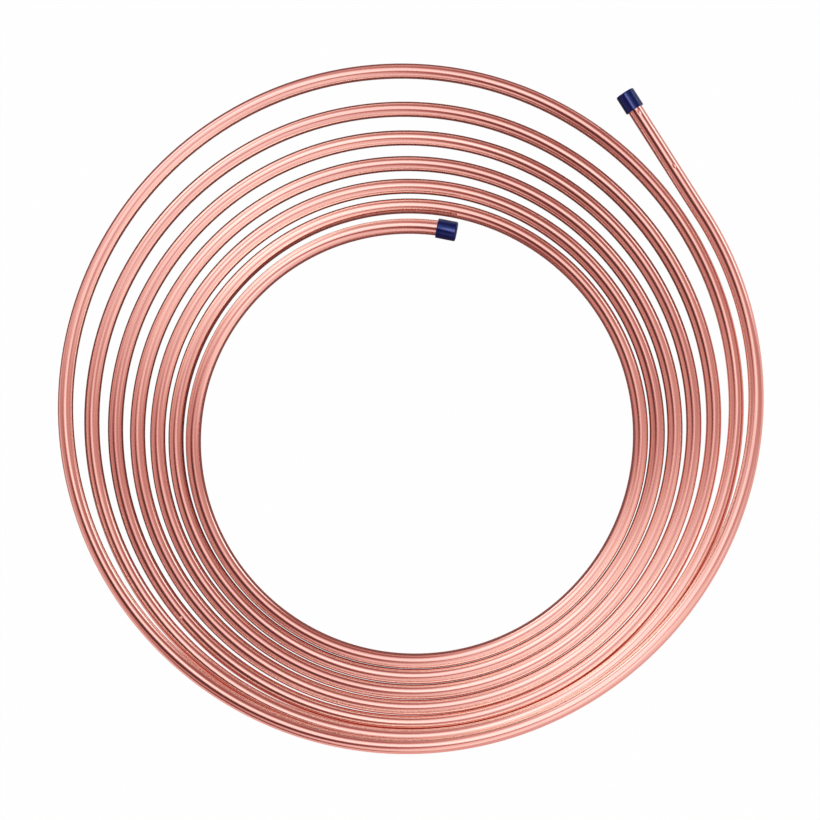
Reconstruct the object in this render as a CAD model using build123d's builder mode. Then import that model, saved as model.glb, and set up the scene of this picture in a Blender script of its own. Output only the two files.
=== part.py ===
from build123d import *
import os
from math import cos, pi, sin, sqrt

os.makedirs("parts", exist_ok=True)

# Tube stock: 3/8 in outside diameter with a 0.035 in wall.
tube_od = 9.525
tube_wall = 0.889

# Coil in plan. Distances run from the winding centre to the tube's axis.
# Turns are counted from the top (+Y), and the tube winds outward from the eye to its left.
first_turn = -0.02
# At the top the pitch widens turn by turn, the eye end tucks in and the outermost turn springs out.
eye_top = 122.5
eye_tuck = 3.0
top_gap = 0.05
top_fan = 0.933
top_spring = 4.1
spring_turn = 5.0
# At the bottom the turns lie snug, and the outer ones crowd in over the others.
eye_bottom = 152.75
snug_gap = 0.2
crowd_turn = 4.4
squeeze = 1.5
side_drift = 0.113

# Outer end: the tube leaves the winding on an arc and ends in a straight tail.
runout_turn = 6.72
runout_radius = 210.0
runout_angle = 48.0
tail_length = 87.0

# Heights above the floor. The eye end springs up, the two outer turns ride up over
# the turns inside them at the bottom (-Y), and the tail lifts its cap off the floor.
eye_rise = 12.0
eye_rise_turns = 0.6
second_lift = 0.65 * tube_od
second_lift_turn = 5.53
second_lift_turns = 0.34
outer_lift = 1.54 * tube_od
outer_lift_turn = 6.53
outer_lift_turns = 0.42
tail_rise = 0.9
tail_rise_turns = 0.1

# Push-on end caps: closed cups that slip over the tube's ends.
cap_wall = 1.3
cap_end = 1.5
cap_length = 12.5
cap_fit = 0.1
cap_seat = 0.3
cap_round = 1.0
cap_lip = 0.3

# The tube's axis is worked out at this many stations in a turn, with two arcs from each to the next.
stations = 12
# Share of a turn over which a direction is taken, and steps in the turn that gives the coil's extent.
slight = 0.0005
extent_steps = 720

tube_radius = tube_od / 2
cap_depth = cap_length - cap_end - cap_seat
last_turn = runout_turn + runout_angle / 360


def winding(turn):
    """Plan position of the axis on the winding, about the winding centre."""
    tuck = eye_tuck * max(0, 1 - turn) ** 2
    sprung = min(1, max(0, turn - spring_turn))
    spring = top_spring * sprung**2 * (3 - 2 * sprung)
    crowding = squeeze * max(0, turn - crowd_turn) ** 2
    top = eye_top + (tube_od + top_gap) * turn + top_fan * turn**2 + spring - tuck
    bottom = eye_bottom + (tube_od + snug_gap) * (turn - 0.5) - crowding
    angle = pi / 2 + 2 * pi * turn
    radius = (top + bottom) / 2 + (top - bottom) / 2 * sin(angle) - side_drift * turn**2 * cos(angle)
    return Vector(radius * cos(angle), radius * sin(angle))


def plan(turn):
    """Plan position of the axis, on the winding and then on the arc that leaves it."""
    if turn <= runout_turn:
        return winding(turn)
    leave = winding(runout_turn)
    along = (leave - winding(runout_turn - slight)).normalized()
    inward = Vector(-along.Y, along.X)
    angle = 2 * pi * (turn - runout_turn)
    return leave + (along * sin(angle) + inward * (1 - cos(angle))) * runout_radius


# The last full turn holds the coil's extreme points, so its middle is the middle of the coil's box.
outline = [plan(last_turn - step / extent_steps) for step in range(extent_steps)]
centre = Vector(
    (max(p.X for p in outline) + min(p.X for p in outline)) / 2,
    (max(p.Y for p in outline) + min(p.Y for p in outline)) / 2,
)


def lift(turn, middle, reach):
    """Smooth rise and fall, one at its middle and none beyond its reach."""
    away = (turn - middle) / reach
    return cos(pi / 2 * away) ** 2 if abs(away) < 1 else 0


def height(turn):
    """Height of the axis above the floor."""
    eye = eye_rise * max(0, 1 - (turn - first_turn) / eye_rise_turns) ** 2
    tail = tail_rise * max(0, 1 - (last_turn - turn) / tail_rise_turns) ** 2
    second = second_lift * lift(turn, second_lift_turn, second_lift_turns)
    outer = outer_lift * lift(turn, outer_lift_turn, outer_lift_turns)
    return tube_radius + eye + tail + second + outer


def place(turn):
    """Position of the axis, with the coil's box centred over the origin."""
    return plan(turn) - centre + Vector(0, 0, height(turn))


def heading(turn):
    """Direction of the axis."""
    return (place(turn + slight) - place(turn - slight)).normalized()


count = round((last_turn - first_turn) * stations)
turns = [first_turn + (last_turn - first_turn) * i / count for i in range(count + 1)]
points = [place(turn) for turn in turns]
ways = [heading(turn) for turn in turns]
eye_end = points[0] - ways[0] * cap_depth
tail_end = points[-1] + ways[-1] * tail_length

with BuildPart() as coiled_tube:
    with BuildLine() as axis:
        Line(eye_end, points[0])
        for p, q, way_p, way_q in zip(points, points[1:], ways, ways[1:]):
            # Two arcs that meet smoothly and keep the heading at both stations.
            bend = 2 * (1 - way_p.dot(way_q))
            reach = (q - p).dot(way_p + way_q)
            leg = (sqrt(reach**2 + bend * (q - p).dot(q - p)) - reach) / bend
            corner_p = p + way_p * leg
            corner_q = q - way_q * leg
            joint = (corner_p + corner_q) / 2
            TangentArc(p, joint, tangent=way_p)
            TangentArc(joint, q, tangent=corner_q - corner_p)
        Line(points[-1], tail_end)
    with BuildSketch(Plane(origin=eye_end, z_dir=ways[0])):
        Circle(tube_radius)
        Circle(tube_radius - tube_wall, mode=Mode.SUBTRACT)
    sweep()
coiled_tube.part.label = "coiled_tube"
export_step(coiled_tube.part, "parts/coiled_tube.step")

# Both caps share one profile, turned about the tube's own end.
bore = tube_radius + cap_fit
rim = bore + cap_wall
floor_in = cap_seat
top_out = cap_seat + cap_end
for label, end, out in (("inner_end_cap", eye_end, -ways[0]), ("outer_end_cap", tail_end, ways[-1])):
    with BuildPart() as end_cap:
        with BuildSketch(Plane(origin=end, x_dir=out, z_dir=out.cross(Vector(0, 0, 1)))):
            with BuildLine():
                Polyline(
                    (top_out - cap_round, rim),
                    (-cap_depth + cap_lip, rim),
                    (-cap_depth, rim - cap_lip),
                    (-cap_depth, bore),
                    (floor_in, bore),
                    (floor_in, 0),
                    (top_out, 0),
                    (top_out, rim - cap_round),
                )
                RadiusArc((top_out, rim - cap_round), (top_out - cap_round, rim), -cap_round)
            make_face()
        revolve(axis=Axis(end, out))
    end_cap.part.label = label
    export_step(end_cap.part, f"parts/{label}.step")

length = axis.wire().length
print("tube length", round(length), "mm, volume over section times length",
      coiled_tube.part.volume / (length * pi * (tube_radius**2 - (tube_radius - tube_wall) ** 2)))
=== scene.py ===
from math import atan, cos, pi, radians, sin

import bpy
import numpy as np
from mathutils import Matrix, Vector


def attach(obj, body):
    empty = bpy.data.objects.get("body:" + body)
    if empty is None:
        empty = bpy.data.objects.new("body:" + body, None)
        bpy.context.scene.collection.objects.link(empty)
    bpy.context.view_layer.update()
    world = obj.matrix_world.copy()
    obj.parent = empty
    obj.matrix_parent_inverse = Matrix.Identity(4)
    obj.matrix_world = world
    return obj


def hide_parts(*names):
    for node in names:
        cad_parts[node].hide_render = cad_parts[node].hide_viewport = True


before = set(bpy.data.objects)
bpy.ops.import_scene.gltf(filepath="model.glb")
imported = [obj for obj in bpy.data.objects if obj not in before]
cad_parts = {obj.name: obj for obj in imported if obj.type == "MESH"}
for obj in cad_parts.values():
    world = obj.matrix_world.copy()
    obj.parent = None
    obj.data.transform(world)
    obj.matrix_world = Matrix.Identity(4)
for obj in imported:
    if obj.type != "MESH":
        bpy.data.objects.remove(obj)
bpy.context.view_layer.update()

# Millimetres, the unit of the tube's own sizes, in the frame's metres.
MM = 0.001

# Tube and coil, as the part is built.
TUBE_WIDTH = 9.525
TUBE_RADIUS = TUBE_WIDTH / 2
FIRST_TURN = -0.02
EYE_TOP, EYE_TUCK = 122.5, 3.0
TOP_GAP, TOP_FAN = 0.05, 0.933
TOP_PITCH = TUBE_WIDTH + TOP_GAP
TOP_SPRING, SPRING_TURN = 4.1, 5.0
EYE_BOTTOM, SNUG_GAP = 152.75, 0.2
BOTTOM_PITCH = TUBE_WIDTH + SNUG_GAP
CROWD_TURN, SQUEEZE = 4.4, 1.5
SIDE_DRIFT = 0.113
RUNOUT_TURN, RUNOUT_RADIUS, RUNOUT_ANGLE = 6.72, 210.0, 48.0
TAIL_LENGTH = 87.0
EYE_RISE, EYE_RISE_TURNS = 12.0, 0.6
SECOND_LIFT, SECOND_LIFT_TURN, SECOND_LIFT_TURNS = 0.65 * TUBE_WIDTH, 5.53, 0.34
OUTER_LIFT, OUTER_LIFT_TURN, OUTER_LIFT_TURNS = 1.54 * TUBE_WIDTH, 6.53, 0.42
TAIL_RISE, TAIL_RISE_TURNS = 0.9, 0.1
LAST_TURN = RUNOUT_TURN + RUNOUT_ANGLE / 360
# Share of a turn over which a direction is taken.
SLIGHT = 0.0005

# End caps: how far they reach over the tube, how far their end wall stands off it and how thick that is.
CAP_DEPTH, CAP_SEAT, CAP_END = 10.7, 0.3, 1.5
# Their room round the tube, and their wall.
CAP_FIT, CAP_WALL = 0.1, 1.3
CAP_RADIUS = TUBE_RADIUS + CAP_FIT + CAP_WALL
# The gap to the tube at their mouth, how deep the bore is drawn there, and the ring round the end's middle.
MOUTH_GAP, CAP_BORE_SHOWN, CAP_MIDDLE = 0.05, 2.5, 2.0
CAP_BORE = TUBE_RADIUS + MOUTH_GAP
# Roundings of the end and of the lip, each with its number of points.
CAP_ROUND, CAP_ROUND_POINTS = 1.0, 9
CAP_LIP, CAP_LIP_POINTS = 0.35, 6
# How far the inner cap sits askew on the tube's end, in degrees.
INNER_ASKEW = -4.5

# Fineness of the meshes.
RINGS_A_TURN = 200
TUBE_SIDES = 40
CAP_SIDES = 64

# Metal: each noise's grain, in metres along the tube and across it, and the depth of its relief.
DRAW_LINES, DRAW_LINES_DEPTH = (0.10, 0.0007), 0.000014
FLATS, FLATS_DEPTH = (0.12, 0.004), 0.00012
SPECKLE, SPECKLE_DEPTH = (0.0011, 0.0006), 0.000016
CLOUD, PATCHES = (0.02, 0.006), (0.3, 0.006)
# Its colour by draw lines and patches, its sheen at the edges, and its roughness by cloud.
METAL_TINTS = ((0.55, (0.70, 0.290, 0.255, 1)), (0.95, (0.91, 0.438, 0.372, 1)))
PATCHES_SHARE = 0.5
METALLIC, METAL_SHEEN = 0.9, (0.95, 0.62, 0.56, 1)
CLOUD_RANGE, METAL_ROUGHNESS = (0.3, 0.7), (0.05, 0.10)
# Small dents on the tail and a mark across one turn: how far along the tube from the eye
# and to its outer side, half their length and width, and their depth, in metres.
MARKS = (
    (7.635, 0.0006, 0.0022, 0.0013, -0.00025),
    (7.595, 0.0011, 0.0022, 0.0013, -0.00025),
    (4.3905, 0.0013, 0.0009, 0.0018, -0.0004),
)

# Cap plastic: its colour by grain, the grain's scale, depth and strength, and its gloss.
PLASTIC_TINTS = ((0.35, (0.002, 0.003, 0.034, 1)), (0.65, (0.003, 0.006, 0.056, 1)))
GRAIN_SCALE, GRAIN_DEPTH, GRAIN_STRENGTH = 900.0, 0.00005, 0.3
PLASTIC_ROUGHNESS, PLASTIC_SHEEN = 0.22, (0.36, 0.40, 1.0, 1)

# Light all round: its level, and glows and dim patches as azimuth, elevation, core and reach
# in degrees, and strength.
WORLD_LEVEL = 0.68
GLOWS = (
    (98, 68, 5, 34, 0.95),
    (300, 62, 4, 22, 0.55),
    (135, 34, 10, 36, 0.45),
    (130, 4, 8, 24, 0.90),
    (32, 4, 6, 24, 1.50),
    (318, 28, 12, 40, 0.55),
    (265, 32, 5, 26, 0.50),
    (222, 66, 6, 28, -0.62),
    (200, 54, 4, 24, -0.20),
    (245, 3, 8, 32, -0.50),
    (62, 35, 10, 38, -0.36),
)
DIMMEST = 0.03
# How steeply red, green and blue fall as the light gets less: its darker parts are warm.
WARMTH = (0.92, 1.62, 1.70)
# Light that the metal mirrors twice would be far redder than the photo's valleys, so it is given
# this many times over. A ray counts as mirrored twice above this depth.
AGAIN, TWICE = (1.12, 2.1, 2.15), 1.5
# The valleys at the lower right and the upper left are paler still: azimuth, elevation, core
# and reach of where that light comes from, and how much more of it there is.
PALER, PALER_SHARE = ((120, 45, 10, 48), (300, 45, 10, 48)), (0.35, 1.6, 1.8)

# The lamp that the caps alone mirror: its size and place in metres, its turn in degrees, and its radiance.
CAP_LIGHT_SIZE, CAP_LIGHT_PLACE = (0.45, 0.36), (0.0, 0.14, 1.0)
CAP_LIGHT_TURN, CAP_LIGHT_RADIANCE = 120, 9.0

# The floor: half its width, its colours under the light and as the metal mirrors it (there a painted
# dark red-brown shade that gives the metal its dark edges), and the share of plain white in what the camera
# sees.
FLOOR_HALF = 3.0
FLOOR_TINTS = ((0.0, (0.40, 0.40, 0.40, 1)), (1.0, (0.24, 0.09, 0.085, 1)))
CAMERA_WHITE = 0.99
# The share of plain white in what the metal mirrors of it: little under the coil, a pool of painted shade
# there, and all further out.
DIM_CENTRE, DIM_REACH, DIM_SHARE = (-0.03, 0.05, 0), (0.195, 0.255), (0.04, 1.0)

# The camera looks straight down, with the coil where the photo has it.
CAMERA_HEIGHT = 1.6
FIELD = 0.515
CAMERA_SHIFT = (-0.0003, -0.0017)


def winding(turn):
    """Plan position of the tube's axis on the winding, about the winding centre."""
    sprung = min(1, max(0, turn - SPRING_TURN))
    top = EYE_TOP + TOP_PITCH * turn + TOP_FAN * turn**2 - EYE_TUCK * max(0, 1 - turn) ** 2
    top += TOP_SPRING * sprung**2 * (3 - 2 * sprung)
    bottom = EYE_BOTTOM + BOTTOM_PITCH * (turn - 0.5) - SQUEEZE * max(0, turn - CROWD_TURN) ** 2
    angle = pi / 2 + 2 * pi * turn
    radius = (top + bottom) / 2 + (top - bottom) / 2 * sin(angle) - SIDE_DRIFT * turn**2 * cos(angle)
    return np.array((radius * cos(angle), radius * sin(angle)))


def plan(turn):
    """Plan position on the winding, and then on the arc that leaves it."""
    if turn <= RUNOUT_TURN:
        return winding(turn)
    leave = winding(RUNOUT_TURN)
    along = leave - winding(RUNOUT_TURN - SLIGHT)
    along /= np.hypot(*along)
    inward = np.array((-along[1], along[0]))
    angle = 2 * pi * (turn - RUNOUT_TURN)
    return leave + RUNOUT_RADIUS * (along * sin(angle) + inward * (1 - cos(angle)))


def lift(turn, middle, reach):
    """Smooth rise and fall, one at its middle and none beyond its reach."""
    away = (turn - middle) / reach
    return cos(pi / 2 * away) ** 2 if abs(away) < 1 else 0


def height(turn):
    """Height of the tube's axis above the floor."""
    eye = EYE_RISE * max(0, 1 - (turn - FIRST_TURN) / EYE_RISE_TURNS) ** 2
    tail = TAIL_RISE * max(0, 1 - (LAST_TURN - turn) / TAIL_RISE_TURNS) ** 2
    second = SECOND_LIFT * lift(turn, SECOND_LIFT_TURN, SECOND_LIFT_TURNS)
    outer = OUTER_LIFT * lift(turn, OUTER_LIFT_TURN, OUTER_LIFT_TURNS)
    return TUBE_RADIUS + eye + tail + second + outer


def tube_axis():
    """Points along the tube's axis, in millimetres, from the end in the eye to the end of the tail."""
    count = round((LAST_TURN - FIRST_TURN) * RINGS_A_TURN)
    turns = np.linspace(FIRST_TURN, LAST_TURN, count)
    points = np.array([(*plan(t), height(t)) for t in turns])
    outer = points[-RINGS_A_TURN:, :2]
    points[:, :2] -= (outer.max(0) + outer.min(0)) / 2
    start = points[0] - points[1]
    start /= np.linalg.norm(start)
    end = points[-1] - points[-2]
    end /= np.linalg.norm(end)
    eye_end = [points[0] + start * CAP_DEPTH, points[0] + start * CAP_DEPTH / 2]
    spacing = 2 * pi * RUNOUT_RADIUS / RINGS_A_TURN
    tail = [points[-1] + end * d for d in np.arange(spacing, TAIL_LENGTH, spacing)]
    return np.vstack([eye_end, points, tail, points[-1] + end * TAIL_LENGTH])


def new_piece(name, verts, faces):
    """A smooth-shaded object of that mesh, in the scene."""
    mesh = bpy.data.meshes.new(name)
    mesh.from_pydata(verts, [], faces)
    mesh.polygons.foreach_set("use_smooth", np.ones(len(mesh.polygons), bool))
    piece = bpy.data.objects.new(name, mesh)
    bpy.context.collection.objects.link(piece)
    return piece


def make_tube(axis):
    """The tube's skin, with its unrolled coordinates kept as an attribute for the finish."""
    ahead = np.gradient(axis, axis=0)
    ahead /= np.linalg.norm(ahead, axis=1)[:, None]
    side = np.cross(ahead, (0, 0, 1))
    side /= np.linalg.norm(side, axis=1)[:, None]
    up = np.cross(side, ahead)
    along = np.concatenate([[0], np.cumsum(np.linalg.norm(np.diff(axis, axis=0), axis=1))])
    around = np.arange(TUBE_SIDES) / TUBE_SIDES * 2 * pi
    ring_y, ring_z = np.cos(around) * TUBE_RADIUS, np.sin(around) * TUBE_RADIUS
    skin = axis[:, None] + side[:, None] * ring_y[None, :, None] + up[:, None] * ring_z[None, :, None]
    stock = np.empty_like(skin)
    stock[..., 0] = along[:, None]
    stock[..., 1] = ring_y
    stock[..., 2] = ring_z
    rings = len(axis)
    i = np.arange(rings - 1)[:, None] * TUBE_SIDES
    j = np.arange(TUBE_SIDES)[None, :]
    k = (j + 1) % TUBE_SIDES
    quads = np.stack([i + j, i + TUBE_SIDES + j, i + TUBE_SIDES + k, i + k], axis=-1).reshape(-1, 4)
    first = list(range(TUBE_SIDES))
    last = [(rings - 1) * TUBE_SIDES + n for n in reversed(first)]
    verts = (skin.reshape(-1, 3) * MM).tolist()
    tube = new_piece("tube_skin", verts, quads.tolist() + [first, last])
    unrolled = tube.data.attributes.new("stock", "FLOAT_VECTOR", "POINT")
    unrolled.data.foreach_set("vector", (stock * MM).ravel())
    return tube


def make_cap(name, end, out, askew):
    """A closed push-on cup over the tube's end, with softened edges, turned askew about its mouth."""
    rim, back, face = CAP_RADIUS, -CAP_DEPTH, CAP_SEAT + CAP_END
    round_edge = [
        (face - CAP_ROUND + CAP_ROUND * sin(a), rim - CAP_ROUND + CAP_ROUND * cos(a))
        for a in np.linspace(0, pi / 2, CAP_ROUND_POINTS)
    ]
    lip = [
        (back + CAP_LIP - CAP_LIP * sin(a), rim - CAP_LIP + CAP_LIP * cos(a))
        for a in np.linspace(pi / 2, 0, CAP_LIP_POINTS)
    ]
    mouth = [(back + CAP_BORE_SHOWN, CAP_BORE), (back, CAP_BORE)]
    profile = mouth + lip + round_edge + [(face, CAP_MIDDLE), (face, 0.0)]
    along = Vector(out).normalized()
    out = Matrix.Rotation(radians(askew), 3, "Z") @ along
    side = out.cross(Vector((0, 0, 1))).normalized()
    up = side.cross(out)
    base = Vector(end) + (out - along) * CAP_DEPTH
    verts, faces = [], []
    for x, r in profile:
        for n in range(CAP_SIDES):
            a = 2 * pi * n / CAP_SIDES
            verts.append((base + out * x + (side * cos(a) + up * sin(a)) * r) * MM)
    for p in range(len(profile) - 1):
        for n in range(CAP_SIDES):
            m = (n + 1) % CAP_SIDES
            a, b = p * CAP_SIDES, (p + 1) * CAP_SIDES
            faces.append((a + n, a + m, b + m, b + n))
    return new_piece(name, verts, faces)


def new_material(name):
    """A material with its nodes, their links and its shader."""
    material = bpy.data.materials.new(name)
    material.use_nodes = True
    tree = material.node_tree
    return material, tree.nodes, tree.links, tree.nodes["Principled BSDF"]


def colours(nodes, links, value, stops):
    """Colour by a value: each stop has the value it is at and its colour."""
    ramp = nodes.new("ShaderNodeValToRGB")
    for element, (position, colour) in zip(ramp.color_ramp.elements, stops):
        element.position = position
        element.color = colour
    links.new(value, ramp.inputs["Fac"])
    return ramp.outputs["Color"]


def copper_nickel():
    """Satin drawn metal: lines and shallow flats along the tube, uneven gloss and a fine speckle."""
    material, nodes, links, shader = new_material("copper_nickel")
    shader.inputs["Metallic"].default_value = METALLIC
    shader.inputs["Specular Tint"].default_value = METAL_SHEEN
    stock = nodes.new("ShaderNodeAttribute")
    stock.attribute_name = "stock"

    def noise(grain, detail=2.0):
        """Noise whose grains are about that many metres long and wide on the tube."""
        along, across = grain
        mapping = nodes.new("ShaderNodeMapping")
        mapping.inputs["Scale"].default_value = (1 / along, 1 / across, 1 / across)
        texture = nodes.new("ShaderNodeTexNoise")
        texture.inputs["Scale"].default_value = 1.0
        texture.inputs["Detail"].default_value = detail
        links.new(stock.outputs["Vector"], mapping.inputs["Vector"])
        links.new(mapping.outputs["Vector"], texture.inputs["Vector"])
        return texture.outputs["Fac"]

    def mark(along, aside, length, width):
        """One at that place on the tube and none beyond the mark's length and width."""
        above = (TUBE_RADIUS**2 * MM**2 - aside**2) ** 0.5
        mapping = nodes.new("ShaderNodeMapping")
        mapping.vector_type = "TEXTURE"
        mapping.inputs["Location"].default_value = (along, aside, above)
        mapping.inputs["Scale"].default_value = (length, width, width)
        away = nodes.new("ShaderNodeVectorMath")
        away.operation = "LENGTH"
        spot = nodes.new("ShaderNodeMapRange")
        spot.interpolation_type = "SMOOTHSTEP"
        spot.inputs["From Min"].default_value = 1.0
        spot.inputs["From Max"].default_value = 0.0
        links.new(stock.outputs["Vector"], mapping.inputs["Vector"])
        links.new(mapping.outputs["Vector"], away.inputs[0])
        links.new(away.outputs["Value"], spot.inputs["Value"])
        return spot.outputs["Result"]

    def bump(height, depth, before=None):
        """Relief of that depth, on top of the relief before it."""
        node = nodes.new("ShaderNodeBump")
        node.inputs["Distance"].default_value = depth
        links.new(height, node.inputs["Height"])
        if before:
            links.new(before, node.inputs["Normal"])
        return node.outputs["Normal"]

    draw_lines = noise(DRAW_LINES)
    flats = noise(FLATS, detail=1.0)
    speckle = noise(SPECKLE, detail=1.0)
    cloud = noise(CLOUD)
    patches = noise(PATCHES, detail=1.0)

    shade = nodes.new("ShaderNodeMath")
    shade.operation = "MULTIPLY_ADD"
    shade.inputs[1].default_value = PATCHES_SHARE
    links.new(patches, shade.inputs[0])
    links.new(draw_lines, shade.inputs[2])
    links.new(colours(nodes, links, shade.outputs[0], METAL_TINTS), shader.inputs["Base Color"])

    gloss = nodes.new("ShaderNodeMapRange")
    gloss.inputs["From Min"].default_value, gloss.inputs["From Max"].default_value = CLOUD_RANGE
    gloss.inputs["To Min"].default_value, gloss.inputs["To Max"].default_value = METAL_ROUGHNESS
    links.new(cloud, gloss.inputs["Value"])
    links.new(gloss.outputs["Result"], shader.inputs["Roughness"])

    relief = bump(flats, FLATS_DEPTH)
    for *place, depth in MARKS:
        relief = bump(mark(*place), depth, relief)
    relief = bump(draw_lines, DRAW_LINES_DEPTH, relief)
    relief = bump(speckle, SPECKLE_DEPTH, relief)
    links.new(relief, shader.inputs["Normal"])
    return material


def cap_plastic():
    """Dark blue soft plastic with a faint moulded grain."""
    material, nodes, links, shader = new_material("cap_plastic")
    place = nodes.new("ShaderNodeTexCoord")
    grain = nodes.new("ShaderNodeTexNoise")
    grain.inputs["Scale"].default_value = GRAIN_SCALE
    links.new(place.outputs["Object"], grain.inputs["Vector"])
    tint = colours(nodes, links, grain.outputs["Fac"], PLASTIC_TINTS)
    bump = nodes.new("ShaderNodeBump")
    bump.inputs["Strength"].default_value = GRAIN_STRENGTH
    bump.inputs["Distance"].default_value = GRAIN_DEPTH
    links.new(grain.outputs["Fac"], bump.inputs["Height"])
    links.new(tint, shader.inputs["Base Color"])
    links.new(bump.outputs["Normal"], shader.inputs["Normal"])
    shader.inputs["Roughness"].default_value = PLASTIC_ROUGHNESS
    shader.inputs["Specular Tint"].default_value = PLASTIC_SHEEN
    return material


def toward(azimuth, elevation):
    """Direction from the coil. Azimuth 0 is +X and 90 is +Y."""
    flat = cos(radians(elevation))
    return Vector((cos(radians(azimuth)) * flat, sin(radians(azimuth)) * flat, sin(radians(elevation))))


def make_world():
    """Light all round, with soft glows and dim patches."""
    world = bpy.data.worlds.new("studio")
    bpy.context.scene.world = world
    world.use_nodes = True
    nodes, links = world.node_tree.nodes, world.node_tree.links
    direction = nodes.new("ShaderNodeTexCoord").outputs["Generated"]

    def glow(azimuth, elevation, core, reach, strength=1.0):
        """All of its strength within its core and none beyond its reach."""
        facing = nodes.new("ShaderNodeVectorMath")
        facing.operation = "DOT_PRODUCT"
        facing.inputs[1].default_value = toward(azimuth, elevation)
        fade = nodes.new("ShaderNodeMapRange")
        fade.interpolation_type = "SMOOTHSTEP"
        fade.inputs["From Min"].default_value = cos(radians(reach))
        fade.inputs["From Max"].default_value = cos(radians(core))
        fade.inputs["To Max"].default_value = strength
        links.new(direction, facing.inputs[0])
        links.new(facing.outputs["Value"], fade.inputs["Value"])
        return fade.outputs["Result"]

    def maths(operation, a, b):
        """That operation on two values, each a number or a socket."""
        node = nodes.new("ShaderNodeMath")
        node.operation = operation
        for socket, value in zip(node.inputs, (a, b)):
            if isinstance(value, (int, float)):
                socket.default_value = value
            else:
                links.new(value, socket)
        return node.outputs[0]

    total = WORLD_LEVEL
    for place in GLOWS:
        total = maths("ADD", total, glow(*place))
    total = maths("MAXIMUM", total, DIMMEST)

    mirrorings = nodes.new("ShaderNodeLightPath").outputs["Glossy Depth"]
    twice = maths("GREATER_THAN", mirrorings, TWICE)
    paler = 0.0
    for place in PALER:
        paler = maths("ADD", glow(*place), paler)
    mixed = nodes.new("ShaderNodeCombineColor")
    for channel, (steepness, again, more) in enumerate(zip(WARMTH, AGAIN, PALER_SHARE)):
        level = maths("POWER", total, steepness)
        extra = maths("ADD", maths("MULTIPLY", paler, more), again - 1)
        gain = maths("ADD", maths("MULTIPLY", twice, extra), 1.0)
        links.new(maths("MULTIPLY", level, gain), mixed.inputs[channel])
    links.new(mixed.outputs[0], nodes["Background"].inputs["Color"])


def make_cap_light(caps):
    """A soft lamp overhead, for the sheen on the dark caps alone."""
    lamp = bpy.data.lights.new("cap_light", "AREA")
    lamp.shape = "RECTANGLE"
    lamp.size, lamp.size_y = CAP_LIGHT_SIZE
    lamp.energy = CAP_LIGHT_RADIANCE * pi * lamp.size * lamp.size_y
    light = bpy.data.objects.new("cap_light", lamp)
    light.location = CAP_LIGHT_PLACE
    light.rotation_euler = (0, 0, radians(CAP_LIGHT_TURN))
    light.visible_camera = False
    bpy.context.collection.objects.link(light)
    lit = bpy.data.collections.new("capped_ends")
    for cap in caps:
        lit.objects.link(cap)
    light.light_linking.receiver_collection = lit


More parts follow.
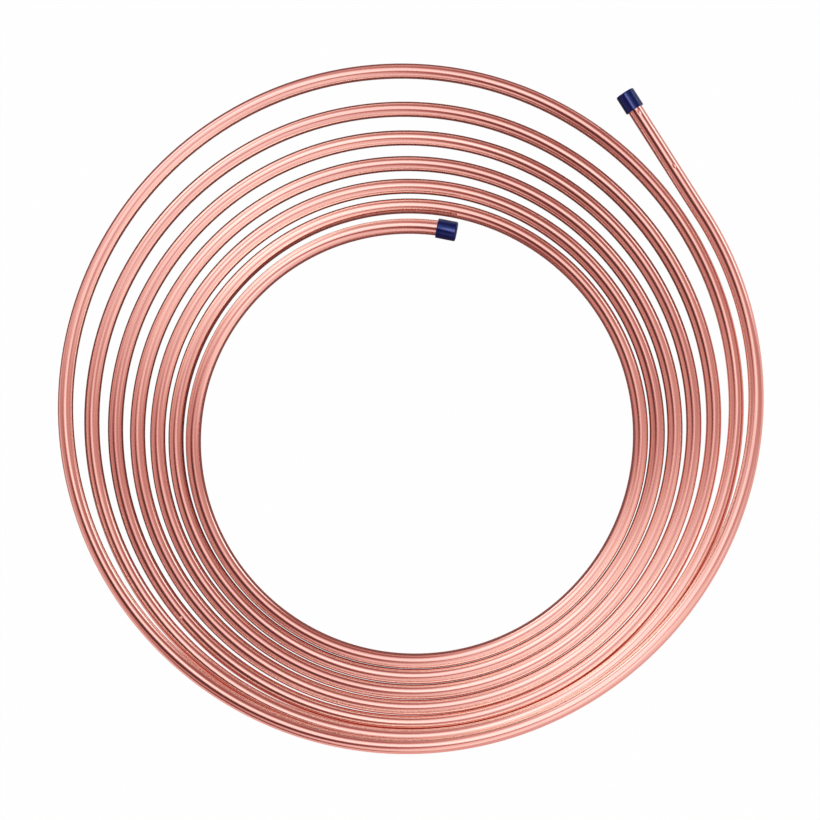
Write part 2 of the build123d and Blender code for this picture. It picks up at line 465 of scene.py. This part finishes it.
def make_floor():
    """A plain white floor that keeps the coil's shadow; what the metal mirrors of it is painted shade, dark
    red-brown under the coil and white further out.
    """
    mesh = bpy.data.meshes.new("floor")
    corners = [(x * FLOOR_HALF, y * FLOOR_HALF, 0) for x, y in ((-1, -1), (1, -1), (1, 1), (-1, 1))]
    mesh.from_pydata(corners, [], [(0, 1, 2, 3)])
    floor = bpy.data.objects.new("floor", mesh)
    bpy.context.collection.objects.link(floor)
    material, nodes, links, shader = new_material("floor_white")
    shader.inputs["Roughness"].default_value = 1.0
    shader.inputs["Specular IOR Level"].default_value = 0.0
    path = nodes.new("ShaderNodeLightPath")
    mirrored = nodes.new("ShaderNodeMath")
    mirrored.operation = "MAXIMUM"
    links.new(path.outputs["Is Glossy Ray"], mirrored.inputs[0])
    links.new(path.outputs["Is Transmission Ray"], mirrored.inputs[1])
    # Painted shade: where the metal mirrors the floor, the floor's colour turns dark red-brown.
    links.new(colours(nodes, links, mirrored.outputs[0], FLOOR_TINTS), shader.inputs["Base Color"])
    # Painted shade: under the coil the metal mirrors little white, as if the floor there lay in shadow.
    place = nodes.new("ShaderNodeTexCoord")
    away = nodes.new("ShaderNodeVectorMath")
    away.operation = "DISTANCE"
    away.inputs[1].default_value = DIM_CENTRE
    shade_pool = nodes.new("ShaderNodeMapRange")
    shade_pool.interpolation_type = "SMOOTHSTEP"
    shade_pool.inputs["From Min"].default_value, shade_pool.inputs["From Max"].default_value = DIM_REACH
    shade_pool.inputs["To Min"].default_value, shade_pool.inputs["To Max"].default_value = DIM_SHARE
    faint = nodes.new("ShaderNodeMath")
    faint.operation = "MULTIPLY"
    links.new(place.outputs["Object"], away.inputs[0])
    links.new(away.outputs["Value"], shade_pool.inputs["Value"])
    links.new(mirrored.outputs[0], faint.inputs[0])
    links.new(shade_pool.outputs["Result"], faint.inputs[1])
    share = nodes.new("ShaderNodeMath")
    share.operation = "MULTIPLY_ADD"
    share.inputs[1].default_value = CAMERA_WHITE
    links.new(path.outputs["Is Camera Ray"], share.inputs[0])
    links.new(faint.outputs[0], share.inputs[2])
    white = nodes.new("ShaderNodeEmission")
    mix = nodes.new("ShaderNodeMixShader")
    links.new(share.outputs[0], mix.inputs["Fac"])
    links.new(shader.outputs[0], mix.inputs[1])
    links.new(white.outputs[0], mix.inputs[2])
    links.new(mix.outputs[0], nodes["Material Output"].inputs["Surface"])
    mesh.materials.append(material)


axis = tube_axis()
tube = make_tube(axis)
tube.data.materials.append(copper_nickel())
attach(tube, "root")
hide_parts("coiled_tube")

plastic = cap_plastic()
caps = []
for node, end, out, askew in (
    ("inner_end_cap", axis[0], axis[0] - axis[1], INNER_ASKEW),
    ("outer_end_cap", axis[-1], axis[-1] - axis[-2], 0),
):
    cap = make_cap(node + "_skin", end, out, askew)
    # The turns beside the raised inner cap would mirror it as a dark dash.
    cap.visible_glossy = False
    cap.data.materials.append(plastic)
    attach(cap, "root")
    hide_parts(node)
    caps.append(cap)

make_floor()
make_world()
make_cap_light(caps)

camera_data = bpy.data.cameras.new("camera")
camera_data.angle = 2 * atan(FIELD / 2 / (CAMERA_HEIGHT - TUBE_RADIUS * MM))
camera = bpy.data.objects.new("camera", camera_data)
camera.location = (*CAMERA_SHIFT, CAMERA_HEIGHT)
bpy.context.collection.objects.link(camera)
bpy.context.scene.camera = camera
bpy.context.scene.view_settings.view_transform = "Standard"
